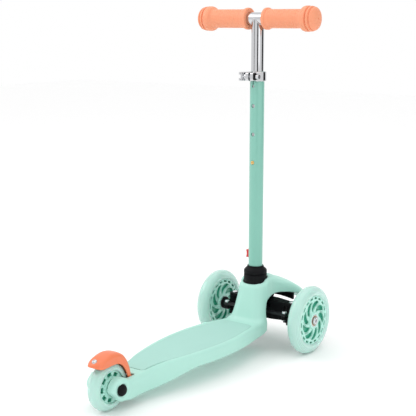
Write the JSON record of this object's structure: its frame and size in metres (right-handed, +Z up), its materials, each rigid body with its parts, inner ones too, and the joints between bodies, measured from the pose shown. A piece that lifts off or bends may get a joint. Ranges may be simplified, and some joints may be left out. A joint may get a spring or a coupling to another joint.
{
  "type": "kick scooter",
  "caption": "child's three-wheel lean-to-steer kick scooter: hollow deck with a soft mat, sprung front truck, lift-out column, height-adjustable handlebar and a fender brake",
  "frame": {"origin": "centre of the footprint on the floor", "axes": "-Y is forward, +Z is up, +X is the rider's left"},
  "size_m": [0.2406, 0.542, 0.6024],
  "materials": {
    "deck_mint": "satin moulded plastic",
    "mat_mint": "fine textured soft plastic",
    "black_plastic": "satin black",
    "black_steel": "black coated",
    "steel": "zinc plated",
    "chrome": "polished",
    "column_mint": "semi-gloss paint",
    "tyre_mint": "translucent cast polyurethane",
    "core_mint": "satin",
    "fender_orange": "satin",
    "grip_orange": "matt",
    "red": "gloss",
    "brass": "polished",
    "lamp": "clear potting"
  },
  "bodies": {
    "deck": {"deck_moulding": "deck_mint", "grip_mat": "mat_mint", "steering_socket": "black_plastic", "socket_cap": "black_plastic", "drive_pin": "steel", "truck_mount": "black_plastic", "mount_screws": "steel", "lean_shaft": "steel", "centring_spring": "steel", "rear_axle_bolt": "steel", "rear_axle_nut": "steel", "rear_axle_sleeves": "steel", "rear_bearing_inners": "steel", "rear_axle_caps": "black_plastic", "brake_pivot_pin": "steel", "brake_spring": "steel"},
    "truck": {"truck_beam": "black_plastic", "lean_bushes": "steel", "kingpins": "steel", "lower_brace": "black_steel"},
    "link": {"tie_rod": "black_steel"},
    "steer_l": {"knuckle_left": "black_plastic", "tie_rod_pin_left": "steel", "front_axle_bolt_left": "steel", "front_bearing_inners_left": "steel", "magnet_spacer_left": "steel"},
    "steer_r": {"knuckle_right": "black_plastic", "tie_rod_pin_right": "steel", "front_axle_bolt_right": "steel", "front_bearing_inners_right": "steel", "magnet_spacer_right": "steel"},
    "wheel_l": {"front_wheel_core_left": "core_mint", "front_tyre_left": "tyre_mint", "lamp_modules_left": "lamp", "front_bearings_left": "steel"},
    "wheel_r": {"front_wheel_core_right": "core_mint", "front_tyre_right": "tyre_mint", "lamp_modules_right": "lamp", "front_bearings_right": "steel"},
    "wheel_rear": {"rear_wheel_core": "core_mint", "rear_tyre": "tyre_mint", "rear_bearings": "steel"},
    "brake": {"brake_fender": "fender_orange", "brake_wear_plate": "steel", "brake_rivet": "steel"},
    "column": {"outer_tube": "column_mint", "clamp_collar": "black_plastic", "clamp_bolt": "steel", "clamp_washer": "black_plastic", "cam_saddle": "black_plastic", "lever_pin": "steel"},
    "lever": {"clamp_lever": "black_plastic"},
    "release": {"release_button": "red", "release_catch_spring": "steel"},
    "handlebar": {"stem_and_crossbar": "chrome", "grip_left": "grip_orange", "grip_right": "grip_orange", "bar_end_plugs": "black_plastic"},
    "snap": {"snap_button": "brass", "snap_spring": "steel"}
  },
  "joints": [
    {"name": "truck_lean", "type": "hinge", "parent": "deck", "child": "truck", "pos_m": [0, -0.195, 0.09], "axis": [0, 1, 0], "range_deg": [-10, 10], "stiffness_Nm_per_rad": 60, "deforming": ["centring_spring"]},
    {"name": "link_shift", "type": "slide", "parent": "truck", "child": "link", "axis": [1, 0, 0], "range_m": [-0.004, 0.004]},
    {"name": "steer_left", "type": "hinge", "parent": "truck", "child": "steer_l", "pos_m": [0.062, -0.183, 0.06], "axis": [0, 0, 1], "range_deg": [-9.3, 9.3]},
    {"name": "steer_right", "type": "hinge", "parent": "truck", "child": "steer_r", "pos_m": [-0.062, -0.183, 0.06], "axis": [0, 0, 1], "range_deg": [-9.3, 9.3]},
    {"name": "front_left_spin", "type": "hinge", "parent": "steer_l", "child": "wheel_l", "pos_m": [0.0982, -0.183, 0.06], "axis": [1, 0, 0], "continuous": true},
    {"name": "front_right_spin", "type": "hinge", "parent": "steer_r", "child": "wheel_r", "pos_m": [-0.0982, -0.183, 0.06], "axis": [1, 0, 0], "continuous": true},
    {"name": "rear_spin", "type": "hinge", "parent": "deck", "child": "wheel_rear", "pos_m": [0, 0.233, 0.038], "axis": [1, 0, 0], "continuous": true},
    {"name": "brake_press", "type": "hinge", "parent": "deck", "child": "brake", "pos_m": [0, 0.188, 0.041], "axis": [-1, 0, 0], "range_deg": [0, 12.4], "stiffness_Nm_per_rad": 3, "deforming": ["brake_spring"]},
    {"name": "column_lift", "type": "slide", "parent": "deck", "child": "column", "axis": [0, 0, 1], "range_m": [0, 0.068], "deforming": ["release_catch_spring"]},
    {"name": "handlebar_height", "type": "slide", "parent": "column", "child": "handlebar", "axis": [0, 0, 1], "range_m": [0, 0.0986], "deforming": ["snap_button", "snap_spring"]},
    {"name": "clamp_throw", "type": "hinge", "parent": "column", "child": "lever", "pos_m": [0.0184, -0.1395, 0.4835], "axis": [0, 0, 1], "range_deg": [0, 120]},
    {"name": "release_press", "type": "slide", "parent": "column", "child": "release", "axis": [-1, 0, 0], "range_m": [0, 0.004], "stiffness_N_per_m": 800},
    {"name": "snap_press", "type": "slide", "parent": "handlebar", "child": "snap", "axis": [0, -1, 0], "range_m": [0, 0.0035], "stiffness_N_per_m": 800, "deforming": ["snap_spring"]}
  ],
  "couplings": [
    {"joint": "link_shift", "follows": "truck_lean", "m_per_rad": 0.022},
    {"joint": "steer_left", "follows": "truck_lean", "ratio": -0.91667},
    {"joint": "steer_right", "follows": "truck_lean", "ratio": -0.91667}
  ]
}
